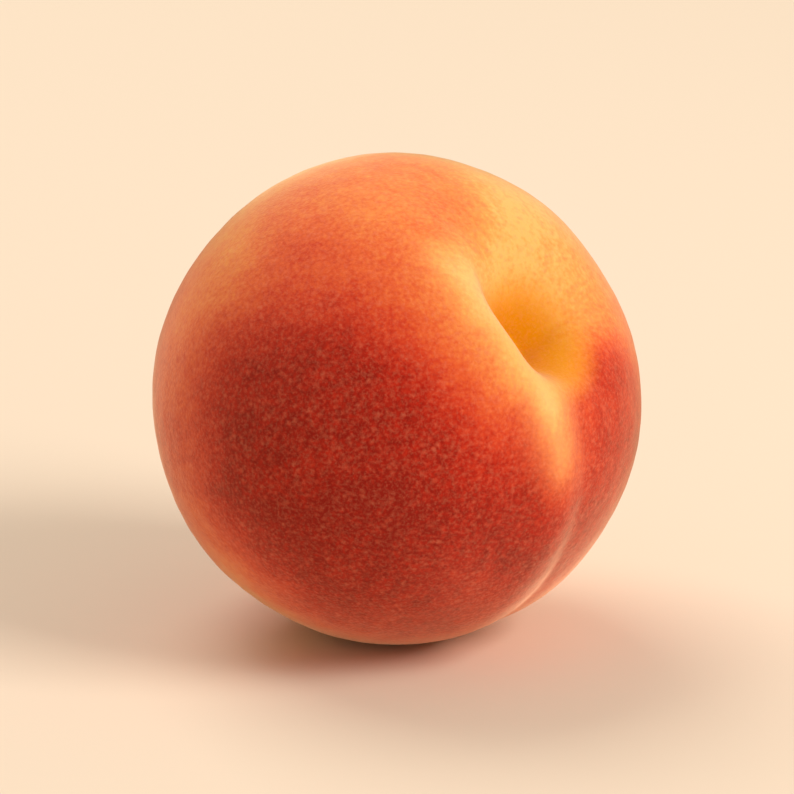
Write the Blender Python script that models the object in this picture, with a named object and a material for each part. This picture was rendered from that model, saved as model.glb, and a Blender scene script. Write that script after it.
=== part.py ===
"""A ripe peach as picked, lying on its cheek on a small flat spot.

Metres, +Z up. The origin is the centre of the flat spot, and -Y is the front.
The fruit's own frame has x toward the suture groove, y toward the leaner
cheek and z along the stem axis, out of the stem cavity.
"""
import math

import bmesh
import bpy
from mathutils import Matrix, Vector

MM = 0.001

# Overall body, before the cavity and the groove are pressed in
CHEEK_RADIUS = 37.0 * MM        # across the two cheeks
SUTURE_RADIUS = 37.3 * MM       # in the plane of the suture
STEM_HEIGHT = 36.4 * MM         # centre to the stem pole
TIP_HEIGHT = 37.0 * MM          # centre to the blossom end

# Stem cavity: a funnel whose walls differ from side to side
CAVITY_DEPTH = 13.8 * MM
CAVITY_TURN = 0.30              # radians, from the suture plane toward the lean cheek
GENTLE_WALL_POWER = 1.35        # 2 is a round bowl, 1 a sharp cone
STEEP_WALL_POWER = 2.0          # under the full cheek
CAVITY_TO_SUTURE = 5.5 * MM
CAVITY_TO_BACK = 11.0 * MM
CAVITY_TO_FULL_CHEEK = 5.0 * MM
CAVITY_TO_LEAN_CHEEK = 10.0 * MM
WALL_BLEND = 3.5 * MM           # over which one wall's reach turns into the next

# Suture groove down one side, and the faint crease opposite
GROOVE_AT_SHOULDER = 2.4 * MM
GROOVE_AT_SIDE = 1.0 * MM
GROOVE_WIDTH = 4.5 * MM
GROOVE_BOTTOM_ROUND = 1.0 * MM
BACK_CREASE = 0.8 * MM

# The fuller cheek swells up beside the groove, along a crest that bends off toward the back
LIP_RISE = 2.3 * MM
LIP_OFFSET = 5.0 * MM           # from the suture plane, where the crest comes closest
LIP_CLOSEST = 14.0 * MM
LIP_BEND = 5.5                  # per metre
LIP_WIDTH = 6.0 * MM

# Where these features set in, from none to full: by the angle from the stem pole in radians,
GROOVE_DEEPENS = (0.75, 0.15)
BACK_CREASE_SETS_IN = (1.5, 0.35)
LIP_SETS_IN = (1.9, 0.2)
# and round the axis, by the cosine of the angle from the suture side or from the back
SUTURE_SIDE = (-0.15, 0.35)
BACK_SIDE = (0.15, 0.8)
LIP_SIDE = (-0.9, 0.2)

# Blossom end: a blunt little point
TIP_RISE = 1.3 * MM
TIP_WIDTH = 4.2 * MM

# How the fruit lies: where its stem axis and its suture side point
STEM_DIRECTION = (0.647, -0.584, 0.490)
SUTURE_DIRECTION = (0.394, -0.294, -0.871)
FLAT_SPOT_RADIUS = 7.0 * MM     # the spot that the fruit rests on
PRESSED_ANGLE = 0.45            # radians round that spot over which the groove is pressed out

# Mesh: rings crowd into the cavity, and meridians crowd toward the groove
MERIDIANS = 72
RINGS = 46
RING_CROWDING = 0.35
MERIDIAN_CROWDING = 0.5
SHARP_EDGE = math.radians(40.0)     # only the flat spot's rim is sharper


def smooth_step(low, high, value):
    """Rise from 0 at low to 1 at high with level ends."""
    t = min(1.0, max(0.0, (value - low) / (high - low)))
    return t * t * (3.0 - 2.0 * t)


def body_point(polar, azimuth):
    """Point of the plain body: an ellipsoid with a stem half and a tip half."""
    height = STEM_HEIGHT if polar < math.pi / 2 else TIP_HEIGHT
    x = SUTURE_RADIUS * math.sin(polar) * math.cos(azimuth)
    y = CHEEK_RADIUS * math.sin(polar) * math.sin(azimuth)
    return Vector((x, y, height * math.cos(polar)))


def groove_depth(polar, azimuth, across):
    """Depth of the crease: deep at the cavity, shallow down the side, fading across it."""
    at_cavity = smooth_step(*GROOVE_DEEPENS, polar)
    depth = GROOVE_AT_SIDE + (GROOVE_AT_SHOULDER - GROOVE_AT_SIDE) * at_cavity
    on_suture_side = smooth_step(*SUTURE_SIDE, math.cos(azimuth))
    on_back = smooth_step(*BACK_SIDE, -math.cos(azimuth))
    on_back *= smooth_step(*BACK_CREASE_SETS_IN, polar)
    rounded = math.hypot(across, GROOVE_BOTTOM_ROUND) - GROOVE_BOTTOM_ROUND
    section = math.exp(-rounded / GROOVE_WIDTH)
    return section * (depth * on_suture_side + BACK_CREASE * on_back)


def lip_rise(polar, azimuth, along, across):
    """Swelling of the fuller cheek, a bell across its crest, strongest at the shoulder."""
    from_crest = across + LIP_OFFSET + LIP_BEND * (along - LIP_CLOSEST) ** 2
    fade = smooth_step(*LIP_SETS_IN, polar) * smooth_step(*LIP_SIDE, math.cos(azimuth))
    return LIP_RISE * math.exp(-(from_crest / LIP_WIDTH) ** 2) * fade


def cavity_drop(along, across):
    """How far the cavity sinks: a bell of the distance from the stem, by each wall's shape."""
    cos, sin = math.cos(CAVITY_TURN), math.sin(CAVITY_TURN)
    along, across = along * cos + across * sin, across * cos - along * sin
    to_suture = smooth_step(-WALL_BLEND, WALL_BLEND, along)
    to_full_cheek = smooth_step(WALL_BLEND, -WALL_BLEND, across)
    length = CAVITY_TO_BACK + (CAVITY_TO_SUTURE - CAVITY_TO_BACK) * to_suture
    width = CAVITY_TO_LEAN_CHEEK + (CAVITY_TO_FULL_CHEEK - CAVITY_TO_LEAN_CHEEK) * to_full_cheek
    power = GENTLE_WALL_POWER + (STEEP_WALL_POWER - GENTLE_WALL_POWER) * to_full_cheek
    return CAVITY_DEPTH * math.exp(-math.hypot(along / length, across / width) ** power)


def skin_point(polar, azimuth, down):
    """Point of the skin: the body with its groove, lip, cavity and tip."""
    point = body_point(polar, azimuth)
    along, across = point.x, point.y
    pressed = math.exp(-(point.angle(down) / PRESSED_ANGLE) ** 2)
    rise = lip_rise(polar, azimuth, along, across) - groove_depth(polar, azimuth, across)
    point += point.normalized() * rise * math.sin(polar) * (1.0 - pressed)
    if polar < math.pi / 2:
        point.z -= cavity_drop(along, across)
    else:
        point.z -= TIP_RISE * math.exp(-(math.hypot(along, across) / TIP_WIDTH) ** 2)
    return point


def lying_turn():
    """Rotation from the fruit's own frame to how it lies."""
    stem = Vector(STEM_DIRECTION).normalized()
    suture = Vector(SUTURE_DIRECTION)
    suture = (suture - stem * suture.dot(stem)).normalized()
    lean_cheek = stem.cross(suture)
    return Matrix((suture, lean_cheek, stem)).transposed()


def shape_skin(mesh):
    """Move a unit sphere's vertices onto the skin and turn it to how it lies."""
    turn = lying_turn()
    down = turn.transposed() @ Vector((0.0, 0.0, -1.0))
    for vertex in mesh.verts:
        share = math.acos(max(-1.0, min(1.0, vertex.co.z))) / math.pi
        polar = math.pi * share * (1.0 - RING_CROWDING * (1.0 - share))
        azimuth = math.atan2(vertex.co.y, vertex.co.x)
        azimuth -= MERIDIAN_CROWDING * math.sin(azimuth)
        vertex.co = turn @ skin_point(polar, azimuth, down)


def cut_flat_spot(mesh):
    """Slice off the lowest cap and put the flat face's centre at the origin."""
    lowest = min(vertex.co.z for vertex in mesh.verts)
    cap_height = CHEEK_RADIUS - math.sqrt(CHEEK_RADIUS ** 2 - FLAT_SPOT_RADIUS ** 2)
    level = Vector((0.0, 0.0, lowest + cap_height))
    everything = mesh.verts[:] + mesh.edges[:] + mesh.faces[:]
    cut = bmesh.ops.bisect_plane(
        mesh, geom=everything, dist=1e-7, plane_co=level, plane_no=(0, 0, 1), clear_inner=True
    )
    rim = [item for item in cut["geom_cut"] if isinstance(item, bmesh.types.BMEdge)]
    spot = bmesh.ops.contextual_create(mesh, geom=rim)["faces"][0]
    if spot.normal.z > 0:
        spot.normal_flip()
    centre = spot.calc_center_median_weighted()
    bmesh.ops.translate(mesh, vec=-centre, verts=mesh.verts[:])


def skin_material():
    """Ripe yellow-fleshed peach skin: matte fuzz over an orange-red blush."""
    material = bpy.data.materials.new("peach_skin")
    material.use_nodes = True
    shader = material.node_tree.nodes["Principled BSDF"]
    shader.inputs["Base Color"].default_value = (0.62, 0.16, 0.045, 1.0)
    shader.inputs["Roughness"].default_value = 0.85
    shader.inputs["Metallic"].default_value = 0.0
    return material


def build_peach(collection):
    """The whole fruit as one closed skin."""
    mesh = bmesh.new()
    bmesh.ops.create_uvsphere(mesh, u_segments=MERIDIANS, v_segments=RINGS, radius=1.0)
    shape_skin(mesh)
    cut_flat_spot(mesh)
    bmesh.ops.recalc_face_normals(mesh, faces=mesh.faces[:])
    data = bpy.data.meshes.new("peach")
    mesh.to_mesh(data)
    mesh.free()
    data.shade_smooth()
    data.set_sharp_from_angle(angle=SHARP_EDGE)
    data.materials.append(skin_material())
    peach = bpy.data.objects.new("peach", data)
    collection.objects.link(peach)
    return peach


for old in list(bpy.data.objects):
    bpy.data.objects.remove(old, do_unlink=True)

peach_collection = bpy.data.collections.new("Peach")
bpy.context.scene.collection.children.link(peach_collection)
build_peach(peach_collection)
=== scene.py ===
"""A ripe peach lying on its cheek on a pale table, under soft studio light."""
import math

import bpy
import numpy as np
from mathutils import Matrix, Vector


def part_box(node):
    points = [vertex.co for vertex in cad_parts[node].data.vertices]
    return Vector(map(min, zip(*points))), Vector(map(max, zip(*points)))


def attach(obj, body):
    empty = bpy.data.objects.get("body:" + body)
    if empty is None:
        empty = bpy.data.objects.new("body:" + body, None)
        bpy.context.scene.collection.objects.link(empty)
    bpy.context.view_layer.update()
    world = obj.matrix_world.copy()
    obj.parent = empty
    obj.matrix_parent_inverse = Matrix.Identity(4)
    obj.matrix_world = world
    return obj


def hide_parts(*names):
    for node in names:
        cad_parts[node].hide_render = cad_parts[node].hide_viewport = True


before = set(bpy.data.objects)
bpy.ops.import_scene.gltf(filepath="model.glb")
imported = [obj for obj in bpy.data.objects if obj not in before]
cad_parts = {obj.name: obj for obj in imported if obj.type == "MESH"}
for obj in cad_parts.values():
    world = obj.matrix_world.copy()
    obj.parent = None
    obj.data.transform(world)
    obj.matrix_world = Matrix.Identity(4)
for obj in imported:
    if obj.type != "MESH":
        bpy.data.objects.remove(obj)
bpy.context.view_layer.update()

# ---------------------------------------------------------------------------
# The peach. One fruit, grown whole: thin skin with short dense fuzz, pressed
# in at the stem, creased down one side by the suture, blunt at the blossom
# end, and flat only where it lies.
# ---------------------------------------------------------------------------
MM = 0.001

# Overall body, before the cavity and the groove are pressed in
CHEEK_RADIUS = 37.0 * MM        # across the two cheeks
SUTURE_RADIUS = 37.3 * MM       # in the plane of the suture
STEM_HEIGHT = 36.4 * MM         # centre to the stem pole
TIP_HEIGHT = 37.0 * MM          # centre to the blossom end

# Stem cavity: a funnel whose walls differ from side to side
CAVITY_DEPTH = 13.8 * MM
CAVITY_TURN = 0.30              # radians, from the suture plane toward the lean cheek
GENTLE_WALL_POWER = 1.35        # 2 is a round bowl, 1 a sharp cone
STEEP_WALL_POWER = 2.0          # under the full cheek
CAVITY_TO_SUTURE = 5.5 * MM
CAVITY_TO_BACK = 11.0 * MM
CAVITY_TO_FULL_CHEEK = 5.0 * MM
CAVITY_TO_LEAN_CHEEK = 10.0 * MM
WALL_BLEND = 3.5 * MM           # over which one wall's reach turns into the next

# Suture groove down one side, and the faint crease opposite
GROOVE_AT_SHOULDER = 2.4 * MM
GROOVE_AT_SIDE = 1.0 * MM
GROOVE_WIDTH = 4.5 * MM
GROOVE_BOTTOM_ROUND = 1.0 * MM
BACK_CREASE = 0.8 * MM

# Lip: the fuller cheek swells up beside the groove, along a crest that bends off to the back
LIP_RISE = 2.3 * MM
LIP_OFFSET = 5.0 * MM           # from the suture plane, where the crest comes closest
LIP_CLOSEST = 14.0 * MM
LIP_BEND = 5.5                  # per metre
LIP_WIDTH = 6.0 * MM

# Where these features set in, from none to full: by the angle from the stem pole in radians,
GROOVE_DEEPENS = (0.75, 0.15)
BACK_CREASE_SETS_IN = (1.5, 0.35)
LIP_SETS_IN = (1.9, 0.2)
# and round the axis, by the cosine of the angle from the suture side or from the back
SUTURE_SIDE = (-0.15, 0.35)
BACK_SIDE = (0.15, 0.8)
LIP_SIDE = (-0.9, 0.2)

# Blossom end: a blunt little point
TIP_RISE = 1.3 * MM
TIP_WIDTH = 4.2 * MM

# How the fruit lies: where its stem axis and its suture side point
STEM_DIRECTION = (0.647, -0.584, 0.490)
SUTURE_DIRECTION = (0.394, -0.294, -0.871)
PRESSED_ANGLE = 0.45            # radians round the resting spot over which all of these fade

# Dry ring at the bottom of the cavity, where the stalk came away
SCAR_RADIUS = 2.0 * MM
SCAR_RING_HEIGHT = 0.45 * MM
SCAR_RING_WIDTH = 0.45 * MM

# Unevenness of the skin: height, number of waves, radians per radius, random seed
WAVINESS = (0.10 * MM, 14, 9.0, 3)
PEBBLE = (0.018 * MM, 60, 60.0, 5)
WAVE_SPREAD = (0.7, 1.3)        # least and greatest of a wave's frequency, against the one given

# Mesh: rings crowd into the cavity, and meridians crowd toward the groove
RINGS = 300
MERIDIANS = 320
RING_CROWDING = 0.35
MERIDIAN_CROWDING = 0.5


def smooth_step(low, high, value):
    """Rise from 0 at low to 1 at high with level ends: 3t^2 - 2t^3."""
    t = np.clip((value - low) / (high - low), 0.0, 1.0)
    return t * t * (3.0 - 2.0 * t)


def unit(vectors):
    """Vectors scaled to length 1."""
    vectors = np.asarray(vectors, dtype=float)
    return vectors / np.linalg.norm(vectors, axis=-1, keepdims=True)


def lying_turn():
    """Columns are where the suture side, the lean cheek and the stem axis point."""
    stem = unit(STEM_DIRECTION)
    suture = np.asarray(SUTURE_DIRECTION)
    suture = unit(suture - stem * (suture @ stem))
    return np.stack([suture, np.cross(stem, suture), stem], axis=1)


def waves(places, count, frequency, seed):
    """Sum of sines of the place along random axes, scaled to a spread of about 1."""
    rng = np.random.default_rng(seed)
    axes = unit(rng.normal(size=(count, 3))) * frequency * rng.uniform(*WAVE_SPREAD, (count, 1))
    phases = rng.uniform(0.0, 2.0 * math.pi, count)
    return np.sin(places @ axes.T + phases).sum(axis=-1) * math.sqrt(2.0 / count)


def cavity_drop(along, across):
    """Depth of the stem cavity: exp(-reach^power), reach and power by each wall's own shape."""
    cos, sin = math.cos(CAVITY_TURN), math.sin(CAVITY_TURN)
    along, across = along * cos + across * sin, across * cos - along * sin
    to_suture = smooth_step(-WALL_BLEND, WALL_BLEND, along)
    to_full_cheek = smooth_step(WALL_BLEND, -WALL_BLEND, across)
    length = CAVITY_TO_BACK + (CAVITY_TO_SUTURE - CAVITY_TO_BACK) * to_suture
    width = CAVITY_TO_LEAN_CHEEK + (CAVITY_TO_FULL_CHEEK - CAVITY_TO_LEAN_CHEEK) * to_full_cheek
    power = GENTLE_WALL_POWER + (STEEP_WALL_POWER - GENTLE_WALL_POWER) * to_full_cheek
    return CAVITY_DEPTH * np.exp(-np.hypot(along / length, across / width) ** power)


def from_lip(along, across):
    """Distance across from the lip's crest, a parabola that bends off toward the back."""
    return across + LIP_OFFSET + LIP_BEND * (along - LIP_CLOSEST) ** 2


def along_and_across(polar, azimuth):
    """Distances toward the suture side and the lean cheek: radius * sin(polar) * cos or sin."""
    ring = np.sin(polar)
    return SUTURE_RADIUS * ring * np.cos(azimuth), CHEEK_RADIUS * ring * np.sin(azimuth)


def peach_surface(polar, azimuth, down):
    """Skin point: ellipsoid + lip - groove, sunk by the cavity with its scar, drawn out at the tip.

    The lip is a bell across its crest, rise * exp(-(distance / width)^2). The groove is
    depth * exp(-distance / width) with a rounded bottom, and the scar a bell round its ring.
    """
    height = np.where(polar < math.pi / 2, STEM_HEIGHT, TIP_HEIGHT)
    along, across = along_and_across(polar, azimuth)
    point = np.stack([along, across, height * np.cos(polar)], axis=-1)
    outward = unit(point)

    deepened = smooth_step(*GROOVE_DEEPENS, polar)
    depth = GROOVE_AT_SIDE + (GROOVE_AT_SHOULDER - GROOVE_AT_SIDE) * deepened
    depth = depth * smooth_step(*SUTURE_SIDE, np.cos(azimuth))
    crease = BACK_CREASE * smooth_step(*BACK_SIDE, -np.cos(azimuth))
    crease = crease * smooth_step(*BACK_CREASE_SETS_IN, polar)
    rounded = np.hypot(across, GROOVE_BOTTOM_ROUND) - GROOVE_BOTTOM_ROUND
    groove = np.exp(-rounded / GROOVE_WIDTH) * (depth + crease)

    lip = LIP_RISE * np.exp(-(from_lip(along, across) / LIP_WIDTH) ** 2)
    lip = lip * smooth_step(*LIP_SETS_IN, polar) * smooth_step(*LIP_SIDE, np.cos(azimuth))

    angle_to_down = np.arccos(np.clip(outward @ down, -1.0, 1.0))
    free = 1.0 - np.exp(-(angle_to_down / PRESSED_ANGLE) ** 2)
    uneven = sum(size * waves(outward, *pattern) for size, *pattern in (WAVINESS, PEBBLE))
    rise = ((lip - groove) * np.sin(polar) + uneven) * free
    point = point + outward * rise[..., None]

    from_axis = np.hypot(along, across)
    tip = TIP_RISE * np.exp(-(from_axis / TIP_WIDTH) ** 2)
    scar = SCAR_RING_HEIGHT * np.exp(-((from_axis - SCAR_RADIUS) / SCAR_RING_WIDTH) ** 2)
    point[..., 2] -= np.where(polar < math.pi / 2, cavity_drop(along, across) - scar, tip)
    return point


def grid_mesh(name, points, values):
    """Closed mesh from a grid of rings, whose first and last rows are single poles."""
    rings, meridians = points.shape[:2]
    body = points[1:-1].reshape(-1, 3)
    corners = np.concatenate([points[0, :1], body, points[-1, :1]])
    index = 1 + np.arange((rings - 2) * meridians).reshape(rings - 2, meridians)
    beside = np.roll(index, -1, axis=1)
    quads = np.stack([index[:-1], index[1:], beside[1:], beside[:-1]], axis=-1).reshape(-1, 4)
    top = np.stack([np.zeros(meridians, int), index[0], beside[0]], axis=-1)
    bottom = np.stack([np.full(meridians, len(corners) - 1), beside[-1], index[-1]], axis=-1)
    mesh = bpy.data.meshes.new(name)
    mesh.from_pydata(corners.tolist(), [], quads.tolist() + top.tolist() + bottom.tolist())
    for key, value in values.items():
        kind, field = ("FLOAT", "value") if value.ndim == 2 else ("FLOAT_VECTOR", "vector")
        flat = np.concatenate([value[0, :1].ravel(), value[1:-1].ravel(), value[-1, :1].ravel()])
        mesh.attributes.new(key, kind, "POINT").data.foreach_set(field, flat)
    mesh.shade_smooth()
    return mesh


def peach_grid():
    """Polar angles pi * s * (1 - crowding * (1 - s)), azimuths t - crowding * sin(t)."""
    share = np.linspace(0.0, 1.0, RINGS)
    polar = math.pi * share * (1.0 - RING_CROWDING * (1.0 - share))
    even = np.linspace(-math.pi, math.pi, MERIDIANS, endpoint=False)
    return np.meshgrid(polar, even - MERIDIAN_CROWDING * np.sin(even), indexing="ij")


# Blush: where the sun reddened the skin. Direction, reach and softness in degrees, strength.
BLUSH_PATCHES = (
    ((-0.33, -0.94, 0.04), 43.0, 23.0, 0.92),       # the full cheek, crimson at its heart
    ((0.10, -0.85, -0.51), 38.0, 22.0, 0.80),       # the same cheek's underside
    ((-0.93, 0.32, -0.18), 46.0, 20.0, 0.80),       # its far side
    ((0.80, -0.58, -0.15), 33.0, 7.0, 0.70),        # the lean cheek beside the groove
    ((0.88, -0.08, -0.45), 38.0, 28.0, 0.55),       # the lean cheek's underside
    ((0.94, 0.20, 0.10), 34.0, 26.0, 0.34),         # a flush up the lean cheek's side
    ((-0.12, -0.31, 0.94), 29.0, 11.0, 0.34),       # the upper side, only flushed
    ((-0.68, -0.32, 0.66), 24.0, 16.0, 0.24),       # and the flush beyond it, over the full cheek
    ((-0.30, 0.95, -0.10), 46.0, 28.0, 0.62),       # the back
)

# A pale yellow strip runs just inside the lip's crest: unblushed skin along the suture, with a
# painted highlight over it where the crest catches the light
STRIP_FROM_LIP = 1.2 * MM
STRIP_REACH = 3.8 * MM
STRIP_POWER = 1.6               # 2 is a bell, 1 a sharp ridge
STRIP_SETS_IN = (0.78, 0.30)    # radians from the stem pole
STRIP_RAGGED = 0.12             # share by which it comes and goes
STRIP_WAVES = (20, 600.0, 11)   # number, radians per metre, random seed
STRIP_CLEARS = 0.92             # share of the blush that it takes away

PIT_SETS_IN = (12.5 * MM, 4.5 * MM)     # distances from the stem axis
PIT_CLEARS = 0.8                # share of the blush that the pit takes away
SCAR_SETS_IN = (1.25, 0.8)      # in scar radii
STREAK_DRIFT = 0.35             # change of a streak along itself, against across itself


def strip_amount(polar, azimuth):
    """Ragged bell beside the lip's crest, exp(-(distance / reach)^power), gone far from the stem."""
    along, across = along_and_across(polar, azimuth)
    aside = (from_lip(along, across) + STRIP_FROM_LIP) / STRIP_REACH
    places = np.stack([along, across, np.zeros_like(along)], axis=-1)
    ragged = 1.0 + STRIP_RAGGED * waves(places, *STRIP_WAVES)
    return np.exp(-np.abs(aside) ** STRIP_POWER) * ragged * smooth_step(*STRIP_SETS_IN, polar)


def blush_amount(directions, strip, pit):
    """1 - product of (1 - patch) over soft round patches, less what the strip and the pit clear."""
    bare = np.ones(directions.shape[:-1])
    for direction, reach, softness, strength in BLUSH_PATCHES:
        angle = np.degrees(np.arccos(np.clip(directions @ unit(direction), -1.0, 1.0)))
        bare *= 1.0 - strength * smooth_step(reach + softness, reach - softness, angle)
    return (1.0 - bare) * (1.0 - STRIP_CLEARS * strip) * (1.0 - PIT_CLEARS * pit)


turn = lying_turn()
down = turn.T @ np.array([0.0, 0.0, -1.0])
polar, azimuth = peach_grid()
skin = peach_surface(polar, azimuth, down)
from_stem = np.hypot(skin[..., 0], skin[..., 1])
skin = skin @ turn.T

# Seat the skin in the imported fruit's box and press its lowest cap level.
lowest_cad, highest_cad = (np.array(corner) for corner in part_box("peach"))
middle = (lowest_cad + highest_cad) / 2.0
offset = middle - (skin.reshape(-1, 3).min(axis=0) + skin.reshape(-1, 3).max(axis=0)) / 2.0
offset[2] = highest_cad[2] - skin[..., 2].max()
skin = skin + offset
skin[..., 2] = np.maximum(skin[..., 2], lowest_cad[2])

near_stem = polar < math.pi / 2
strip = strip_amount(polar, azimuth)
# The pit's share rises toward the stem axis: it clears the blush, and paints shade into the cavity's
# bottom
pit = np.where(near_stem, smooth_step(*PIT_SETS_IN, from_stem), 0.0)
values = {
    "blush": blush_amount(unit(skin - middle), strip, pit),
    "strip": strip,
    "pit": pit,
    "scar": np.where(near_stem, smooth_step(*SCAR_SETS_IN, from_stem / SCAR_RADIUS), 0.0),
    "around": np.stack([np.cos(azimuth), np.sin(azimuth), STREAK_DRIFT * polar], axis=-1),
}

# Colour from bare ground to full blush.
BLUSH_COLOURS = (
    (0.00, "#f8bb68"), (0.14, "#f5a352"), (0.32, "#f08442"), (0.50, "#e66232"),
    (0.68, "#d44023"), (0.84, "#bb2614"), (1.00, "#98180c"),
)
# What breaks the blush up: spacing of the pattern, its octaves, how far it shifts the redness.
CLOUDS = (9.0 * MM, 2.0, 0.20)
MOTTLE = (2.2 * MM, 2.0, 0.14)
DOTS = (0.7 * MM, 1.0, 0.34)
STREAKS = (0.09, 3.0, 0.20)     # in radians round the stem axis

# Pale pores
PORE_SPACING = 1.3 * MM
PORE_RADII = (0.12, 0.42)       # in spacings: full inside the first, gone outside the second
PORE_STRENGTHS = (0.08, 0.32)   # where they are sparse and where they are thick
PORE_CROWDS = 3.5 * MM          # spacing of the places where they are thick
PORE_CROWDING = (0.35, 0.65)    # values of that pattern from sparse to thick
PORE_COLOUR = "#e67656"

# The pit, deepened with painted shade; the strip, lightened by a painted highlight; and the scar's
# bark
# Painted shade: the unblushed skin turns this deeper, saturated orange toward the cavity's bottom,
# standing in for shade and light bounced between its walls
PIT_SHADED_COLOUR = "#e49500"
# Painted highlight: the strip is lightened toward this pale cream along the lip's crest, by the
# strength below
STRIP_HIGHLIGHT_COLOUR = "#fccb84"
STRIP_HIGHLIGHT_STRENGTH = 0.50
BARK_COLOURS = ("#4b3419", "#a98551")
BARK_GRAIN = 0.7 * MM

# Fuzz
TUFT_SPACING = 0.5 * MM         # several times that of the real hairs, so that they show
TUFT_HEIGHT = 0.09 * MM
TIPS_SHOW = (0.45, 0.70)        # heights in a tuft from no tip to all tip
TIP_STRENGTH = 0.16
TIP_COLOUR = "#f2a07c"
FUZZ_COLOUR = "#ffd2ae"


def linear(hex_colour):
    """sRGB hex to linear red, green, blue and alpha."""
    srgb = np.array([int(hex_colour[i:i + 2], 16) for i in (1, 3, 5)]) / 255.0
    flat = np.where(srgb <= 0.04045, srgb / 12.92, ((srgb + 0.055) / 1.055) ** 2.4)
    return (*flat.tolist(), 1.0)


def add_node(tree, kind, inputs=None, **settings):
    """Add a node; settings are its properties, inputs map a socket to a number or a source."""
    node = tree.nodes.new(kind)
    for key, value in settings.items():
        setattr(node, key, value)
    for socket, value in (inputs or {}).items():
        if isinstance(value, bpy.types.NodeSocket):
            tree.links.new(value, node.inputs[socket])
        else:
            node.inputs[socket].default_value = value
    return node


def blushed_ground(tree, place):
    """Yellow ground under red blush, shifted up and down by patterns about their mean of a half."""
    around = add_node(tree, "ShaderNodeAttribute", attribute_name="around").outputs["Vector"]
    redness = add_node(tree, "ShaderNodeAttribute", attribute_name="blush").outputs["Fac"]
    patterns = ((place, CLOUDS), (place, MOTTLE), (place, DOTS), (around, STREAKS))
    for vector, (spacing, octaves, shift) in patterns:
        pattern = add_node(tree, "ShaderNodeTexNoise",
                           {"Vector": vector, "Scale": 1.0 / spacing, "Detail": octaves})
        redness = add_node(tree, "ShaderNodeMath", {0: pattern.outputs[0], 1: shift, 2: redness},
                           operation="MULTIPLY_ADD").outputs[0]
    mean_shift = sum(shift for vector, (spacing, octaves, shift) in patterns) / 2.0
    redness = add_node(tree, "ShaderNodeMath", {0: redness, 1: mean_shift}, operation="SUBTRACT")
    ramp = add_node(tree, "ShaderNodeValToRGB", {"Fac": redness.outputs[0]})
    stops = ramp.color_ramp.elements
    for position, colour in BLUSH_COLOURS[1:-1]:
        stops.new(position).color = linear(colour)
    stops[0].color = linear(BLUSH_COLOURS[0][1])
    stops[-1].color = linear(BLUSH_COLOURS[-1][1])
    return ramp.outputs[0]


def with_pores(tree, place, colour):
    """Pale pores over the colour, thicker on the ground in some places."""
    crowds = add_node(tree, "ShaderNodeTexNoise", {"Vector": place, "Scale": 1.0 / PORE_CROWDS})
    strength = add_node(tree, "ShaderNodeMapRange", {
        0: crowds.outputs[0], 1: PORE_CROWDING[0], 2: PORE_CROWDING[1],
        3: PORE_STRENGTHS[0], 4: PORE_STRENGTHS[1]})
    pores = add_node(tree, "ShaderNodeTexVoronoi", {"Vector": place, "Scale": 1.0 / PORE_SPACING})
    amount = add_node(tree, "ShaderNodeMapRange", {
        0: pores.outputs[0], 1: PORE_RADII[0], 2: PORE_RADII[1], 3: strength.outputs[0], 4: 0.0})
    return add_node(tree, "ShaderNodeMix", {0: amount.outputs[0], 6: colour, 7: linear(PORE_COLOUR)},
                    data_type="RGBA").outputs[2]


def with_marks(tree, place, colour):
    """Over the colour: the pit's orange with painted shade and bounce light, the pale strip with its
    painted highlight, and the scar's dry brown bark.
    """
    pit, strip, scar = (
        add_node(tree, "ShaderNodeAttribute", attribute_name=name).outputs["Fac"]
        for name in ("pit", "strip", "scar"))
    # Painted shade and bounce light: a deeper, saturated orange toward the cavity's bottom
    colour = add_node(tree, "ShaderNodeMix", {0: pit, 6: colour, 7: linear(PIT_SHADED_COLOUR)},
                      data_type="RGBA").outputs[2]
    # Painted highlight along the lip's crest
    pale = add_node(tree, "ShaderNodeMath", {0: strip, 1: STRIP_HIGHLIGHT_STRENGTH}, operation="MULTIPLY")
    colour = add_node(tree, "ShaderNodeMix",
                      {0: pale.outputs[0], 6: colour, 7: linear(STRIP_HIGHLIGHT_COLOUR)},
                      data_type="RGBA").outputs[2]
    grain = add_node(tree, "ShaderNodeTexNoise", {"Vector": place, "Scale": 1.0 / BARK_GRAIN})
    dark, light = (linear(brown) for brown in BARK_COLOURS)
    bark = add_node(tree, "ShaderNodeMix", {0: grain.outputs[0], 6: dark, 7: light},
                    data_type="RGBA")
    return add_node(tree, "ShaderNodeMix", {0: scar, 6: colour, 7: bark.outputs[2]},
                    data_type="RGBA").outputs[2]


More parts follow.
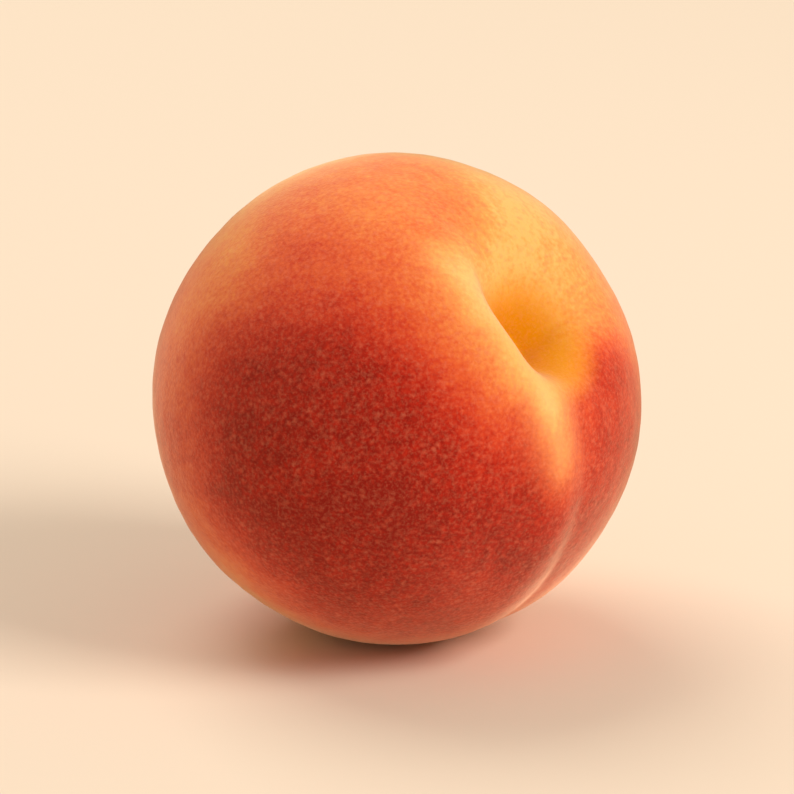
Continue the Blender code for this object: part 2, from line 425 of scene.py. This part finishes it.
def peach_skin():
    """Ripe freestone skin: matte, broken red over yellow, under fuzz that pales its edges."""
    material = bpy.data.materials.new("ripe_peach_skin")
    material.use_nodes = True
    tree = material.node_tree
    shader = tree.nodes["Principled BSDF"]
    place = add_node(tree, "ShaderNodeTexCoord").outputs["Object"]

    # The fuzz lies in tufts, paler where their tips show.
    tufts = add_node(tree, "ShaderNodeTexNoise", {
        "Vector": place, "Scale": 1.0 / TUFT_SPACING, "Detail": 2.0, "Roughness": 0.7})
    tips = add_node(tree, "ShaderNodeMapRange", {
        0: tufts.outputs[0], 1: TIPS_SHOW[0], 2: TIPS_SHOW[1], 3: 0.0, 4: TIP_STRENGTH})
    colour = with_marks(tree, place, with_pores(tree, place, blushed_ground(tree, place)))
    colour = add_node(tree, "ShaderNodeMix", {0: tips.outputs[0], 6: colour, 7: linear(TIP_COLOUR)},
                      data_type="RGBA").outputs[2]
    bump = add_node(tree, "ShaderNodeBump", {
        "Height": tufts.outputs[0], "Strength": 0.8, "Distance": TUFT_HEIGHT})
    tree.links.new(colour, shader.inputs["Base Color"])
    tree.links.new(bump.outputs["Normal"], shader.inputs["Normal"])

    surface = {
        "Roughness": 0.85, "IOR": 1.40, "Specular IOR Level": 0.08,
        "Sheen Weight": 1.0, "Sheen Roughness": 0.42, "Sheen Tint": linear(FUZZ_COLOUR),
        "Subsurface Weight": 0.12, "Subsurface Radius": (1.0, 0.35, 0.15),
        "Subsurface Scale": 2.5 * MM,
    }
    for socket, value in surface.items():
        shader.inputs[socket].default_value = value
    return material


mesh = grid_mesh("peach_skin", skin, values)
mesh.materials.append(peach_skin())
peach = bpy.data.objects.new("peach_skin", mesh)
bpy.context.scene.collection.objects.link(peach)
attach(peach, "root")
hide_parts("peach")

# ---------------------------------------------------------------------------
# The table: a wide, pale, matt sheet of painted board, level with the flat
# spot that the fruit lies on.
# ---------------------------------------------------------------------------
FLOOR_SIZE = 8.0
BOARD_COLOUR = "#ebdbc6"


def painted_board():
    """Eggshell emulsion on board: pale cream, matt, without a pattern."""
    material = bpy.data.materials.new("cream_emulsion")
    material.use_nodes = True
    shader = material.node_tree.nodes["Principled BSDF"]
    shader.inputs["Base Color"].default_value = linear(BOARD_COLOUR)
    shader.inputs["Roughness"].default_value = 0.9
    return material


half = FLOOR_SIZE / 2.0
floor_mesh = bpy.data.meshes.new("floor")
floor_mesh.from_pydata([(-half, -half, 0), (half, -half, 0), (half, half, 0), (-half, half, 0)],
                       [], [(0, 1, 2, 3)])
floor_mesh.materials.append(painted_board())
floor = bpy.data.objects.new("floor", floor_mesh)
bpy.context.scene.collection.objects.link(floor)

# ---------------------------------------------------------------------------
# Light and camera: a soft box above in front on the right, a larger one high
# behind on the left, an even pale room, and a long lens a metre away, a
# little above the fruit.
# ---------------------------------------------------------------------------
ROOM_COLOUR = "#fff3e4"
ROOM_STRENGTH = 0.38
CAMERA_DISTANCE = 1.0
CAMERA_ELEVATION = math.radians(18.0)
LENS = 300.0

aim = Vector(middle.tolist())


def soft_box(name, position, size, watts, colour):
    """Square area light that faces the fruit."""
    light = bpy.data.lights.new(name, "AREA")
    light.size = size
    light.energy = watts
    light.color = linear(colour)[:3]
    lamp = bpy.data.objects.new(name, light)
    lamp.location = position
    lamp.rotation_euler = (aim - lamp.location).to_track_quat("-Z", "Y").to_euler()
    bpy.context.scene.collection.objects.link(lamp)


soft_box("key_light", position=(0.94, -0.46, 0.80), size=0.6, watts=13.0, colour="#fff7ee")
soft_box("top_light", position=(-0.45, 0.60, 1.05), size=0.9, watts=9.5, colour="#fff6ec")

world = bpy.data.worlds.new("pale_room")
world.use_nodes = True
background = world.node_tree.nodes["Background"]
background.inputs["Color"].default_value = linear(ROOM_COLOUR)
background.inputs["Strength"].default_value = ROOM_STRENGTH
bpy.context.scene.world = world
bpy.context.scene.view_settings.view_transform = "Standard"

camera_data = bpy.data.cameras.new("camera")
camera_data.lens = LENS
camera = bpy.data.objects.new("camera", camera_data)
back = Vector((0.0, -math.cos(CAMERA_ELEVATION), math.sin(CAMERA_ELEVATION)))
camera.location = aim + back * CAMERA_DISTANCE
camera.rotation_euler = (-back).to_track_quat("-Z", "Y").to_euler()
bpy.context.scene.collection.objects.link(camera)
bpy.context.scene.camera = camera
